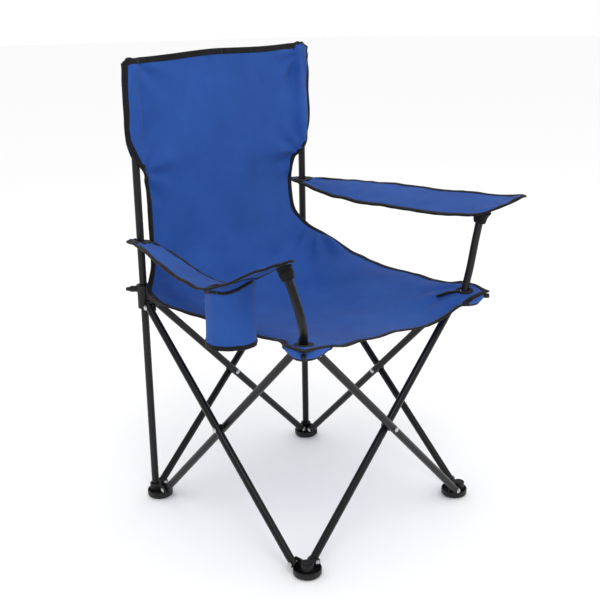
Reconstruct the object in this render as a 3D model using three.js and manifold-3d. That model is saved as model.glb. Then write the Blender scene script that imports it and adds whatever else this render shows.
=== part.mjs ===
// Folding quad camp chair: four crossed pairs of legs, two rear posts, sliders, hubs, feet, a cloth sling,
// two cloth armrests and a cup holder. Millimetres, +Z up, the sitter faces -Y, so the sitter's right is -X.
import * as THREE from 'three';
import { mergeVertices } from 'three/addons/utils/BufferGeometryUtils.js';
import Module from 'manifold-3d';

const wasm = await Module();
wasm.setup();

// ---- driving dimensions ------------------------------------------------------------------------
const gap = 0.3; // clearance between neighbours that touch on the real chair
const tubeRadius = 7;
const tubeWall = 1;
const legSpan = 532; // from foot pin to hub pin along a crossed leg
const pinHalfSpan = 188; // from the middle of the chair to a leg pin, both ways
const pinHeight = 19; // foot pin above the floor
const legOverhang = 6; // tube past its end pin
const spacerThickness = 2.4;
const postTop = 838;
const clothAbovePost = 12;

const rivetRadius = 2.2;
const rivetHoleRadius = 2.6;
const rivetHeadRadius = 4.6;
const rivetHeadHeight = 2.4;
const endRivetToSideTube = 0.9; // clearance between a front or back pair's rivet head and the side tubes
const sideRivetToEndTube = 5.9;

const earThickness = 4;
const earRadius = 8;
const footRadius = 25;
const footBaseHeight = 8.4;
const columnRadius = 11;
const hubPlateRadius = 18;
const hubPlateThickness = 4.5;
const sliderRadius = 12;
const sliderHeight = 46;
const sliderClearance = 0.4;
const frontHornRadius = 4.5;
const rearHornRadius = 6;
const frontHornReach = 46; // how far a front hub's horn stands out from the corner axis
const rearHornReach = 25;
const clothThickness = 2.4;

const armBaseDepth = 8; // arm post bottom, measured down from the hub's top face
const armBulge = 13; // how far an arm post bows outwards
// Rises are above the hub's top face. topLean is how far the arm post's top stands behind its foot.
const leftArm = { topLean: -22, topRise: 152.6, collarRise: 175.6, tipReach: 80, sag: 8, tilt: 30 };
const rightArm = { topLean: 26, topRise: 122.6, collarRise: 100.6, tipReach: 26, sag: 50, tilt: 8 };
const armrestInset = 16; // inner edge inside the post's plane
const armrestWidth = 86;
const armrestRise = 16; // middle of the armrest above the end of the arm post
const armrestThickness = 4;

const cupBehindArmPost = 137; // from the front pair's plane back to the pouch's axis
const cupOutset = 27; // pouch's axis outside the post's plane
const cupRadius = 42;
const cupWall = 3;
const cupDepth = 83;
const cupDrop = 3; // gap between the pouch's rim and the armrest above it

const seatCornerLift = 9; // cloth above the hub's top face
const seatSag = 54; // dip of the middle of the seat below its corners
const seatFrontSag = 26; // dip of the front edge between its corners
const seatRearInset = 18; // ends of the seam in front of the post's plane
const seatWaistInset = 21; // seat's edge behind its front corners, inside the side plane
const seamForward = 44; // how far the middle of the seam lies in front of its ends
const backWaistInset = 27; // back's edge below the sleeves, inside the side plane
const sleeveAboveArmrest = 67; // sleeves' lower ends above the higher armrest's collar
const sleeveWall = 2.2;
const sleeveClearance = 1.6;

// ---- derived dimensions ------------------------------------------------------------------------
const lane = tubeRadius + spacerThickness / 2 + gap; // a leg's axis beside its pair's plane
const pinToTube = rivetHeadRadius + tubeRadius + lane; // pin to crossing pair's plane, head on tube
const sidePlane = pinHalfSpan + endRivetToSideTube + pinToTube; // x of each side pair and of its post
const endPlane = pinHalfSpan + sideRivetToEndTube + pinToTube; // y of the front and back pairs
const pinTopHeight = pinHeight + Math.sqrt(legSpan ** 2 - (2 * pinHalfSpan) ** 2);
const earOffset = tubeRadius + gap + earThickness / 2; // an ear's middle beside its leg's axis
const legEndReach = Math.hypot(legOverhang, tubeRadius);
const hubPlateBottom = pinTopHeight + legEndReach + gap;
const hubTop = hubPlateBottom + hubPlateThickness;
const seatCornerZ = hubTop + seatCornerLift;
const sliderTop = pinTopHeight - earRadius + sliderHeight;
const seatRearZ = sliderTop + seatCornerLift;
const seatRearY = endPlane - seatRearInset;
const seatWaist = sidePlane - seatWaistInset;
const backWaist = sidePlane - backWaistInset;
const clothTop = postTop + clothAbovePost;
const sleeveBottom = hubTop + Math.max(leftArm.collarRise, rightArm.collarRise) + sleeveAboveArmrest;
const armrestInnerX = sidePlane - armrestInset;
const armrestOuterX = armrestInnerX + armrestWidth;
const cupCentreX = sidePlane + cupOutset;
const cupCentreY = cupBehindArmPost - endPlane;
const armHeights = (arm) => ({
  topY: arm.topLean - endPlane,
  topZ: hubTop + arm.topRise,
  collarZ: hubTop + arm.collarRise,
});

// ---- materials ---------------------------------------------------------------------------------
const finish = (color, roughness, metalness) => () =>
  new THREE.MeshStandardMaterial({ color, roughness, metalness });
const blackCoat = finish(0x15161a, 0.35, 0.4);
const blackPlastic = finish(0x101113, 0.5, 0);
const rivetSteel = finish(0xb8babd, 0.3, 1);
const blueCloth = finish(0x2f5cb4, 0.85, 0);

const chair = new THREE.Group();

function addPart(name, geometry, material) {
  const mesh = new THREE.Mesh(geometry, material());
  mesh.name = name;
  chair.add(mesh);
  return mesh;
}

// ---- joining and cutting -----------------------------------------------------------------------
function toSolid(geometry) {
  const bare = geometry.index ? geometry.toNonIndexed() : geometry.clone();
  bare.deleteAttribute('normal');
  bare.deleteAttribute('uv');
  const merged = mergeVertices(bare, 1e-4);
  const mesh = new wasm.Mesh({
    numProp: 3,
    vertProperties: new Float32Array(merged.attributes.position.array),
    triVerts: new Uint32Array(merged.index.array),
  });
  return new wasm.Manifold(mesh);
}

function toGeometry(solid) {
  const mesh = solid.getMesh();
  const geometry = new THREE.BufferGeometry();
  geometry.setAttribute('position', new THREE.BufferAttribute(mesh.vertProperties, mesh.numProp));
  geometry.setIndex(new THREE.BufferAttribute(mesh.triVerts, 1));
  geometry.computeVertexNormals();
  return geometry;
}

function build(added, removed = []) {
  let solid = toSolid(added[0]);
  added.slice(1).forEach((geometry) => {
    solid = solid.add(toSolid(geometry));
  });
  removed.forEach((geometry) => {
    solid = solid.subtract(toSolid(geometry));
  });
  return toGeometry(solid);
}

// ---- basic shapes ------------------------------------------------------------------------------
const at = (x, y, z) => new THREE.Vector3(x, y, z);
const axisX = at(1, 0, 0);
const axisY = at(0, 1, 0);
const axisZ = at(0, 0, 1);

// A geometry whose own +Z is turned to the direction given, then moved.
function aim(geometry, direction, position) {
  const turn = new THREE.Quaternion().setFromUnitVectors(axisZ, direction.clone().normalize());
  return geometry.applyQuaternion(turn).translate(position.x, position.y, position.z);
}

function rod(radius, length, direction, centre, segments = 14) {
  const geometry = new THREE.CylinderGeometry(radius, radius, length, segments).rotateX(Math.PI / 2);
  return aim(geometry, direction, centre);
}

function lathe(points, segments) {
  const outline = points.map(([radius, height]) => new THREE.Vector2(radius, height));
  return new THREE.LatheGeometry(outline, segments).rotateX(Math.PI / 2);
}

// Dome-headed rivet centred on the origin along Z. grip is the length between its two heads.
function rivetGeometry(grip) {
  const half = grip / 2;
  const shoulder = half + rivetHeadHeight * 0.7;
  const crown = half + rivetHeadHeight;
  const profile = [
    [0, -crown],
    [rivetHeadRadius * 0.7, -shoulder],
    [rivetHeadRadius, -half],
    [rivetRadius, -half],
    [rivetRadius, half],
    [rivetHeadRadius, half],
    [rivetHeadRadius * 0.7, shoulder],
    [0, crown],
  ];
  return lathe(profile, 10);
}

// ---- crossed legs ------------------------------------------------------------------------------
// A straight tube from its bottom pin to its top pin, drilled for the two end rivets and the crossing rivet.
function addLeg(name, bottom, top, pinAxis) {
  const inner = tubeRadius - tubeWall;
  const ring = [
    [inner, -legOverhang],
    [tubeRadius, -legOverhang],
    [tubeRadius, legSpan + legOverhang],
    [inner, legSpan + legOverhang],
    [inner, -legOverhang],
  ];
  const holes = [0, legSpan / 2, legSpan].map((height) =>
    rod(rivetHoleRadius, 4 * tubeRadius, axisX, at(0, 0, height), 8),
  );
  const mesh = addPart(name, build([lathe(ring, 12)], holes), blackCoat);
  const along = top.clone().sub(bottom).normalize();
  const across = new THREE.Vector3().crossVectors(along, pinAxis);
  mesh.quaternion.setFromRotationMatrix(new THREE.Matrix4().makeBasis(pinAxis, across, along));
  mesh.position.copy(bottom);
  return mesh;
}

// Each corner says on which side of its pair's plane a leg runs: +1 is away from the chair's middle.
const corners = {
  front_right_foot: { sx: -1, sy: -1, side: 1, end: -1 },
  front_left_foot: { sx: 1, sy: -1, side: 1, end: 1 },
  rear_right_foot: { sx: -1, sy: 1, side: -1, end: 1 },
  rear_left_foot: { sx: 1, sy: 1, side: -1, end: -1 },
  front_right_hub: { sx: -1, sy: -1, side: -1, end: 1 },
  front_left_hub: { sx: 1, sy: -1, side: -1, end: -1 },
  rear_right_slider: { sx: -1, sy: 1, side: 1, end: -1 },
  rear_left_slider: { sx: 1, sy: 1, side: 1, end: 1 },
};

[['right', -1], ['left', 1]].forEach(([sideName, sx]) => {
  const outerX = sx * (sidePlane + lane);
  const innerX = sx * (sidePlane - lane);
  addLeg(
    `${sideName}_side_outer_leg`,
    at(outerX, -pinHalfSpan, pinHeight),
    at(outerX, pinHalfSpan, pinTopHeight),
    axisX,
  );
  addLeg(
    `${sideName}_side_inner_leg`,
    at(innerX, pinHalfSpan, pinHeight),
    at(innerX, -pinHalfSpan, pinTopHeight),
    axisX,
  );
});
// Front pair: the front tube rises to the sitter's right.
// Back pair: the rear tube rises to the sitter's left.
[['front_cross', -1], ['back_cross', 1]].forEach(([pairName, sy]) => {
  const outerY = sy * (endPlane + lane);
  const innerY = sy * (endPlane - lane);
  addLeg(
    `${pairName}_outer_leg`,
    at(-sy * pinHalfSpan, outerY, pinHeight),
    at(sy * pinHalfSpan, outerY, pinTopHeight),
    axisY,
  );
  addLeg(
    `${pairName}_inner_leg`,
    at(sy * pinHalfSpan, innerY, pinHeight),
    at(-sy * pinHalfSpan, innerY, pinTopHeight),
    axisY,
  );
});

// ---- crossing rivets and spacers ---------------------------------------------------------------
const crossingHeight = (pinHeight + pinTopHeight) / 2;
const crossings = [
  ['right_side', at(-sidePlane, 0, crossingHeight), axisX],
  ['left_side', at(sidePlane, 0, crossingHeight), axisX],
  ['front_cross', at(0, -endPlane, crossingHeight), axisY],
  ['back_cross', at(0, endPlane, crossingHeight), axisY],
];
crossings.forEach(([name, centre, axis]) => {
  const grip = 2 * (lane + tubeRadius + gap);
  addPart(`${name}_pivot_rivet`, aim(rivetGeometry(grip), axis, centre), rivetSteel);
  const half = spacerThickness / 2;
  const ring = [
    [rivetHoleRadius, -half],
    [tubeRadius, -half],
    [tubeRadius, half],
    [rivetHoleRadius, half],
    [rivetHoleRadius, -half],
  ];
  addPart(`${name}_spacer`, aim(lathe(ring, 12), axis, centre), blackPlastic);
});

// ---- corner fittings ---------------------------------------------------------------------------
// Where a corner's two leg pins, their ears and the ears' middles are.
function cornerLayout({ sx, sy, side, end }, height) {
  const sideX = sx * (sidePlane + side * lane);
  const endY = sy * (endPlane + end * lane);
  return {
    sidePin: at(sideX, sy * pinHalfSpan, height),
    endPin: at(sx * pinHalfSpan, endY, height),
    sideEarX: sideX - sx * side * earOffset,
    endEarY: endY - sy * end * earOffset,
  };
}

// Flat ear that holds a leg end: round over the pin, straight back to the corner column, and as deep
// below the pin (or above it, with a negative depth) as it needs to reach the base it stands on.
function earShape(inward, reach, depth) {
  const shape = new THREE.Shape();
  const turn = Math.sign(depth);
  shape.moveTo(inward * earRadius, -depth);
  shape.lineTo(inward * earRadius, 0);
  const steps = 5;
  for (let i = 1; i <= steps; i += 1) {
    const angle = (i / steps) * (Math.PI / 2);
    shape.lineTo(inward * earRadius * Math.cos(angle), turn * earRadius * Math.sin(angle));
  }
  shape.lineTo(-inward * reach, turn * earRadius);
  shape.lineTo(-inward * reach, -depth);
  shape.closePath();
  return shape;
}

function ear(shape, alongX, position) {
  const plate = new THREE.ExtrudeGeometry(shape, { depth: earThickness, bevelEnabled: false });
  plate.translate(0, 0, -earThickness / 2).rotateX(Math.PI / 2);
  if (!alongX) {
    plate.rotateZ(Math.PI / 2);
  }
  return plate.translate(position.x, position.y, position.z);
}

function cornerEars(corner, height, depth) {
  const { sx, sy } = corner;
  const { sideEarX, endEarY } = cornerLayout(corner, height);
  const sideReach = endPlane - pinHalfSpan;
  const endReach = sidePlane - pinHalfSpan;
  return [
    ear(earShape(-sy, sideReach, depth), false, at(sideEarX, sy * pinHalfSpan, height)),
    ear(earShape(-sx, endReach, depth), true, at(sx * pinHalfSpan, endEarY, height)),
  ];
}

function cornerPinHoles(corner, height) {
  const { sidePin, endPin } = cornerLayout(corner, height);
  const length = 2 * (earOffset + earThickness);
  return [
    rod(rivetHoleRadius, length, axisX, sidePin, 8),
    rod(rivetHoleRadius, length, axisY, endPin, 8),
  ];
}

// The two rivets of a corner, each through one tube and one ear.
function addCornerRivets(name, corner, height) {
  const { sx, sy, side, end } = corner;
  const { sidePin, endPin } = cornerLayout(corner, height);
  const grip = 2 * tubeRadius + earThickness + 3 * gap;
  const shift = (earThickness + gap) / 2;
  sidePin.x -= sx * side * shift;
  endPin.y -= sy * end * shift;
  addPart(`${name}_side_rivet`, aim(rivetGeometry(grip), axisX, sidePin), rivetSteel);
  addPart(`${name}_cross_rivet`, aim(rivetGeometry(grip), axisY, endPin), rivetSteel);
}

const cornerAxis = ({ sx, sy }, z) => at(sx * sidePlane, sy * endPlane, z);
const padCentre = ({ sx, sy }) => [sx * (sidePlane - 6), sy * (endPlane - 6)];
const outward = ({ sx, sy }) => at(sx, sy, 0).normalize();

// Round column on a corner's axis.
function upright(radius, corner, bottom, top) {
  return rod(radius, top - bottom, axisZ, cornerAxis(corner, (bottom + top) / 2), 18);
}

// Foot: a round pad with a domed edge, a corner column and the two ears. Rear feet have the post's socket.
Object.entries(corners).filter(([name]) => name.endsWith('foot')).forEach(([name, corner]) => {
  const [padX, padY] = padCentre(corner);
  const profile = [
    [0, 0],
    [footRadius - 4, 0],
    [footRadius, 4],
    [footRadius - 3, footBaseHeight],
    [0, footBaseHeight],
  ];
  const pad = lathe(profile, 24).translate(padX, padY, 0);
  const columnTop = pinHeight + earRadius;
  const column = upright(columnRadius, corner, 2, columnTop);
  const cuts = cornerPinHoles(corner, pinHeight);
  if (corner.sy > 0) {
    cuts.push(upright(tubeRadius + gap, corner, footBaseHeight, columnTop + 2));
  }
  const ears = cornerEars(corner, pinHeight, pinHeight - footBaseHeight + 2);
  addPart(name, build([pad, column, ...ears], cuts), blackPlastic);
  addCornerRivets(name, corner, pinHeight);
});

// Horn that stands out of a corner fitting, over which the seat's corner is hooked.
function horn(corner, reach, z, radius) {
  const direction = outward(corner);
  const length = reach - columnRadius + 3;
  const middle = cornerAxis(corner, z).add(direction.clone().multiplyScalar(reach - length / 2));
  return rod(radius, length, direction, middle, 12);
}

// Front hub: ears hang from a round plate, and the arm post stands in the corner column.
Object.entries(corners).filter(([name]) => name.endsWith('hub')).forEach(([name, corner]) => {
  const [plateX, plateY] = padCentre(corner);
  const plateMiddle = at(plateX, plateY, hubTop - hubPlateThickness / 2);
  const plate = rod(hubPlateRadius, hubPlateThickness, axisZ, plateMiddle, 24);
  const columnBottom = pinTopHeight - earRadius;
  const column = upright(columnRadius, corner, columnBottom, hubTop);
  const socket = upright(tubeRadius + gap, corner, hubTop - armBaseDepth - gap, hubTop + 4);
  const ears = cornerEars(corner, pinTopHeight, -(hubPlateBottom - pinTopHeight + 2));
  const frontHorn = horn(corner, frontHornReach, hubTop - frontHornRadius, frontHornRadius);
  const cuts = [...cornerPinHoles(corner, pinTopHeight), socket];
  addPart(name, build([plate, column, frontHorn, ...ears], cuts), blackPlastic);
  addCornerRivets(name, corner, pinTopHeight);
});

// Rear slider: a collar that runs on the post, with two ears and the horn.
Object.entries(corners).filter(([name]) => name.endsWith('slider')).forEach(([name, corner]) => {
  const bottom = pinTopHeight - earRadius;
  const collar = upright(sliderRadius, corner, bottom, sliderTop);
  const bore = upright(tubeRadius + sliderClearance, corner, bottom - 2, sliderTop + 2);
  const ears = cornerEars(corner, pinTopHeight, earRadius);
  const rearHorn = horn(corner, rearHornReach, sliderTop - 1.5 * rearHornRadius, rearHornRadius);
  const cuts = [...cornerPinHoles(corner, pinTopHeight), bore];
  addPart(name, build([collar, rearHorn, ...ears], cuts), blackPlastic);
  addCornerRivets(name, corner, pinTopHeight);
});

// ---- rear posts --------------------------------------------------------------------------------
const sides = { right: -1, left: 1 };
Object.entries(sides).forEach(([sideName, sx]) => {
  const inner = tubeRadius - tubeWall;
  const bottom = footBaseHeight + gap;
  const ring = [
    [inner, bottom],
    [tubeRadius, bottom],
    [tubeRadius, postTop],
    [inner, postTop],
    [inner, bottom],
  ];
  addPart(`${sideName}_rear_post`, lathe(ring, 18).translate(sx * sidePlane, endPlane, 0), blackCoat);
  const capProfile = [
    [0, -10],
    [inner - gap, -10],
    [inner - gap, gap],
    [tubeRadius + 0.6, gap],
    [tubeRadius + 0.6, 3],
    [tubeRadius * 0.6, 6],
    [0, 6.6],
  ];
  addPart(
    `${sideName}_rear_post_cap`,
    lathe(capProfile, 16).translate(sx * sidePlane, endPlane, postTop),
    blackPlastic,
  );
});

// ---- arm posts ---------------------------------------------------------------------------------
// Bent tube: straight up out of the hub, bowed outwards, then to the place under the armrest.
function armPostPath(sx, arm) {
  const baseZ = hubTop - armBaseDepth;
  const { topY, topZ } = armHeights(arm);
  const rise = topZ - baseZ;
  return new THREE.CatmullRomCurve3([
    at(sx * sidePlane, -endPlane, baseZ),
    at(sx * sidePlane, -endPlane, hubTop + tubeRadius),
    at(sx * (sidePlane + armBulge * 0.6), -endPlane - 5, baseZ + rise * 0.36),
    at(sx * (sidePlane + armBulge), -endPlane + arm.topLean * 0.3 - 4, baseZ + rise * 0.66),
    at(sx * (sidePlane + armBulge), topY, topZ),
  ]);
}

const arms = { right: rightArm, left: leftArm };
Object.entries(arms).forEach(([sideName, arm]) => {
  const sx = sides[sideName];
  const path = armPostPath(sx, arm);
  const wall = new THREE.Shape();
  wall.absarc(0, 0, tubeRadius, 0, Math.PI * 2);
  const hollow = new THREE.Path();
  hollow.absarc(0, 0, tubeRadius - tubeWall, 0, Math.PI * 2);
  wall.holes.push(hollow);
  const options = { steps: 10, curveSegments: 6, extrudePath: path, bevelEnabled: false };
  addPart(`${sideName}_arm_post`, new THREE.ExtrudeGeometry(wall, options), blackCoat);
  const tip = path.getPointAt(1);
  const along = path.getTangentAt(1);
  const inner = tubeRadius - tubeWall;
  const plugProfile = [
    [0, -8],
    [inner - 2 * gap, -8],
    [inner - 2 * gap, gap],
    [tubeRadius + 0.8, gap],
    [tubeRadius + 0.8, 2.4],
    [tubeRadius * 0.6, 5],
    [0, 5.6],
  ];
  addPart(`${sideName}_arm_post_cap`, aim(lathe(plugProfile, 14), along, tip), blackPlastic);
});

// ---- cloth -------------------------------------------------------------------------------------
// A closed sheet over a grid: surface(u, v) gives the middle of the cloth for u and v from 0 to 1,
// and the cloth is as thick as told along the direction given.
function sheet(surface, columns, rows, thickness, direction) {
  const offset = direction.clone().multiplyScalar(thickness / 2);
  const points = [];
  [1, -1].forEach((face) => {
    for (let row = 0; row <= rows; row += 1) {
      for (let column = 0; column <= columns; column += 1) {
        points.push(surface(column / columns, row / rows).add(offset.clone().multiplyScalar(face)));
      }
    }
  });
  const width = columns + 1;
  const layer = width * (rows + 1);
  const triangles = [];
  const quad = (a, b, c, d) => triangles.push(a, b, c, a, c, d);
  for (let row = 0; row < rows; row += 1) {
    for (let column = 0; column < columns; column += 1) {
      const a = row * width + column;
      quad(a, a + 1, a + 1 + width, a + width);
      quad(layer + a, layer + a + width, layer + a + 1 + width, layer + a + 1);
    }
  }
  const rim = [];
  for (let column = 0; column < columns; column += 1) {
    rim.push(column);
  }
  for (let row = 0; row < rows; row += 1) {
    rim.push(row * width + columns);
  }
  for (let column = columns; column > 0; column -= 1) {
    rim.push(rows * width + column);
  }
  for (let row = rows; row > 0; row -= 1) {
    rim.push(row * width);
  }
  rim.forEach((index, i) => {
    const next = rim[(i + 1) % rim.length];
    quad(next, index, layer + index, layer + next);
  });
  const geometry = new THREE.BufferGeometry();
  const numbers = points.flatMap((point) => point.toArray());
  geometry.setAttribute('position', new THREE.Float32BufferAttribute(numbers, 3));
  geometry.setIndex(triangles);
  const solid = toSolid(geometry);
  return solid.volume() > 0 ? geometry : flip(geometry);
}

function flip(geometry) {
  const index = Array.from(geometry.index.array);
  for (let i = 0; i < index.length; i += 3) {
    [index[i + 1], index[i + 2]] = [index[i + 2], index[i + 1]];
  }
  geometry.setIndex(index);
  return geometry;
}

const smooth = (t) => t * t * (3 - 2 * t);
const mix = THREE.MathUtils.lerp;
const seam = gap / 2;

// Where the seat meets the back, for u from the middle seam to the side edge.
const fold = (u) => (1 - u * u) ** 1.7;
const seamY = (u) => seatRearY - seamForward * (1 - u * u);
const seamZ = (u) => seatRearZ - seatSag * fold(u);

// Seat half: u runs from the middle seam to the side edge, v from the front edge to the back.
function seatSurface(sx) {
  const cornerReach = frontHornReach * Math.SQRT1_2;
  return (u, v) => {
    const sideX = mix(sidePlane + cornerReach, seatWaist, smooth(Math.min(1, v * 4)));
    const x = sx * mix(seam, sideX, u);
    const frontBow = 16 * (1 - u * u);
    const y = mix(frontBow - endPlane - cornerReach, seamY(u), v);
    const edge = mix(seatCornerZ, seatRearZ, v) - 10 * Math.sin(Math.PI * v);
    const deepest = mix(seatFrontSag, seatSag, Math.sin(Math.min(1, v * 1.6) * (Math.PI / 2)));
    return at(x, y, edge - deepest * fold(u));
  };
}

// Back half: u runs from the middle seam to the side edge, v from where it meets the seat to the top.
function backSurface(sx) {
  const topX = sidePlane - tubeRadius - sleeveClearance - sleeveWall / 2;
  return (u, v) => {
    const z = mix(seamZ(u) + 1.5 * clothThickness, clothTop - sleeveWall, v);
    const widen = smooth(Math.min(1, Math.max(0, (z - sleeveBottom + 30) / 60)));
    const x = sx * mix(seam, mix(backWaist, topX, widen), u);
    const upright = smooth(Math.min(1, v * 2.4));
    return at(x, mix(seamY(u), endPlane - 2, upright), z);
  };
}

Object.entries(sides).forEach(([sideName, sx]) => {
  const slot = rod(tubeRadius + 4, 60, axisZ, at(sx * (sidePlane + 2), -endPlane - 1, seatCornerZ), 16);
  const panel = sheet(seatSurface(sx), 6, 10, clothThickness, axisZ);
  addPart(`${sideName}_seat_panel`, build([panel], [slot]), blueCloth);
  const innerRadius = tubeRadius + sleeveClearance;
  const outerRadius = innerRadius + sleeveWall;
  const sleeveProfile = [
    [innerRadius, sleeveBottom],
    [outerRadius, sleeveBottom],
    [outerRadius, clothTop],
    [0, clothTop],
    [0, clothTop - sleeveWall],
    [innerRadius, clothTop - sleeveWall],
    [innerRadius, sleeveBottom],
  ];
  const sleeve = lathe(sleeveProfile, 18).translate(sx * sidePlane, endPlane, 0);
  const back = sheet(backSurface(sx), 5, 12, clothThickness, axisY);
  addPart(`${sideName}_back_panel`, build([sleeve, back]), blueCloth);
});

// Armrest: a strip from the loop round the rear post to the arm post's cap, with a tip past it.
function armrestPath(arm) {
  const { topY, topZ, collarZ } = armHeights(arm);
  const frontZ = topZ + armrestRise;
  const points = [0, 0.2, 0.4, 0.6, 0.8, 1].map((t) => {
    const dip = arm.sag * Math.sin(Math.PI * t ** 1.6);
    return at(0, mix(endPlane, topY, t), mix(collarZ, frontZ, t) - dip);
  });
  points.push(at(0, topY - arm.tipReach, frontZ + arm.tipReach * 0.25));
  return new THREE.CatmullRomCurve3(points);
}

function armrestSurface(sx, arm) {
  const path = armrestPath(arm);
  const middleX = (armrestInnerX + armrestOuterX) / 2;
  const halfWidth = (armrestOuterX - armrestInnerX) / 2;
  return (u, v) => {
    const point = path.getPointAt(v);
    const pointed = Math.min(1, 0.35 + 2 * v, 0.25 + 4.2 * (1 - v));
    const across = (2 * u - 1) * pointed;
    point.x = sx * (mix(sidePlane, middleX, smooth(Math.min(1, v * 3))) + across * halfWidth);
    point.z += (across * arm.tilt) / 2;
    return point;
  };
}

Object.entries(arms).forEach(([sideName, arm]) => {
  const sx = sides[sideName];
  const strip = sheet(armrestSurface(sx, arm), 3, 16, armrestThickness, axisZ);
  const { collarZ } = armHeights(arm);
  const passage = rod(tubeRadius + 2, 80, axisZ, at(sx * sidePlane, endPlane, collarZ), 16);
  const loopRing = [
    [tubeRadius + 2, -5],
    [tubeRadius + 7, -5],
    [tubeRadius + 7, 5],
    [tubeRadius + 2, 5],
    [tubeRadius + 2, -5],
  ];
  const loop = lathe(loopRing, 18).translate(sx * sidePlane, endPlane, collarZ);
  const cuts = [passage];
  if (arm === rightArm) {
    const openingRadius = cupRadius - cupWall - 3;
    cuts.push(rod(openingRadius, 200, axisZ, at(sx * cupCentreX, cupCentreY, collarZ), 24));
  }
  addPart(`${sideName}_armrest`, build([strip, loop], cuts), blueCloth);
});

// Cup holder: an open pouch that hangs under the lowest stretch of the right armrest.
const stretch = armrestPath(rightArm).getPoints(80).filter((p) => Math.abs(p.y - cupCentreY) < cupRadius);
const armrestLowest = Math.min(...stretch.map((p) => p.z)) - rightArm.tilt / 2 - armrestThickness / 2;
const cupTop = armrestLowest - cupDrop;
const cupBottom = cupTop - cupDepth;
const pouchProfile = [
  [0, cupBottom],
  [cupRadius, cupBottom],
  [cupRadius, cupTop],
  [cupRadius - cupWall, cupTop],
  [cupRadius - cupWall, cupBottom + cupWall],
  [0, cupBottom + cupWall],
];
const pouch = lathe(pouchProfile, 24).translate(sides.right * cupCentreX, cupCentreY, 0);
addPart('cup_holder_pouch', pouch, blueCloth);

// The origin is on the floor under the middle of the chair's box.
const box = new THREE.Box3().setFromObject(chair);
chair.position.set(-(box.min.x + box.max.x) / 2, -(box.min.y + box.max.y) / 2, -box.min.z);

export default chair;
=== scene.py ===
"""Looks of the folding camp chair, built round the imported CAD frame. Lengths in the named values are in
millimetres, with x and z as in the frame and y measured from the middle of the feet."""
import math

import bpy
import numpy as np
from mathutils import Matrix, Vector, noise


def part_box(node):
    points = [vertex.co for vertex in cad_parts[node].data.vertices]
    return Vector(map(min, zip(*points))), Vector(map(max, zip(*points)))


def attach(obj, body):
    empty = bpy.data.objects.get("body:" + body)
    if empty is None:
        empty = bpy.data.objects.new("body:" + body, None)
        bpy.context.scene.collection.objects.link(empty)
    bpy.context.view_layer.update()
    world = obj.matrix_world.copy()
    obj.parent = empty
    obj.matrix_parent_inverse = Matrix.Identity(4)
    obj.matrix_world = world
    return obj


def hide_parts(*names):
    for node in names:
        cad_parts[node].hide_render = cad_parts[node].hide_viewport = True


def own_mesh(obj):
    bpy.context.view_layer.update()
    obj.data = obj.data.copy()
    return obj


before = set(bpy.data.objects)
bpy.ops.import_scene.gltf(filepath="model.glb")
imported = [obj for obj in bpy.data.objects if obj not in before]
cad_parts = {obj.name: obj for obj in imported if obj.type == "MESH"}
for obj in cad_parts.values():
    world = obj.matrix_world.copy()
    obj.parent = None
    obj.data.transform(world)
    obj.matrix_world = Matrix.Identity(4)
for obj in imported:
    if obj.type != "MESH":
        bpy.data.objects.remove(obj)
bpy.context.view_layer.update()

# ---- named values ----
MM = 0.001
TUBE_RADIUS = 7.0
LEG_SPAN = 532.0
PIN_HALF_SPAN = 188.0
SIDE_PLANE = 209.0
END_PLANE = 214.0
PIN_HEIGHT = 19.0
LEG_OVERHANG = 6.0
SPACER = 2.4
GAP = 0.3
LANE = TUBE_RADIUS + SPACER / 2 + GAP
EAR = 4.0
SLIDER_RADIUS = 12.0
PIN_TOP = PIN_HEIGHT + math.sqrt(LEG_SPAN ** 2 - (2 * PIN_HALF_SPAN) ** 2)
HUB_TOP = PIN_TOP + math.hypot(LEG_OVERHANG, TUBE_RADIUS) + GAP + 4.5
POST_TOP = 838.0
POST_BOTTOM = 8.7
CLOTH_TOP = 850.0
CLOTH_THICKNESS = 1.3
SIDES = {"right": -1, "left": 1}

post_low, post_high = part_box("left_rear_post")
SHIFT_Y = (post_low.y + post_high.y) / 2 / MM - END_PLANE


def at(x, y, z):
    """A point in the row frame, in metres, from chair millimetres."""
    return Vector((x, y + SHIFT_Y, z)) * MM


def placed(points):
    """Chair millimetres, as an array, to row metres."""
    return (np.asarray(points, float) + (0.0, SHIFT_Y, 0.0)) * MM


# ---- materials ----
def new_material(name, **sockets):
    material = bpy.data.materials.new(name)
    material.use_nodes = True
    tree = material.node_tree
    shader = tree.nodes["Principled BSDF"]
    for socket, value in sockets.items():
        shader.inputs[socket.replace("_", " ")].default_value = value
    return material, tree, shader


def node(tree, kind, **settings):
    made = tree.nodes.new(kind)
    for key, value in settings.items():
        if hasattr(made, key):
            setattr(made, key, value)
        else:
            made.inputs[key.replace("_", " ")].default_value = value
    return made


def math_node(tree, operation, a, b=None):
    made = tree.nodes.new("ShaderNodeMath")
    made.operation = operation
    for slot_number, value in enumerate([a] if b is None else [a, b]):
        if isinstance(value, (int, float)):
            made.inputs[slot_number].default_value = value
        else:
            tree.links.new(value, made.inputs[slot_number])
    return made.outputs[0]


def colour_ramp(tree, factor, stops):
    ramp = tree.nodes.new("ShaderNodeValToRGB")
    elements = ramp.color_ramp.elements
    while len(elements) < len(stops):
        elements.new(0.5)
    for element, (place, colour) in zip(elements, stops):
        element.position = place
        element.color = (*colour, 1)
    tree.links.new(factor, ramp.inputs["Fac"])
    return ramp.outputs["Color"]


def value_range(tree, factor, low, high):
    made = tree.nodes.new("ShaderNodeMapRange")
    made.inputs["To Min"].default_value = low
    made.inputs["To Max"].default_value = high
    tree.links.new(factor, made.inputs["Value"])
    return made.outputs[0]


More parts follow.
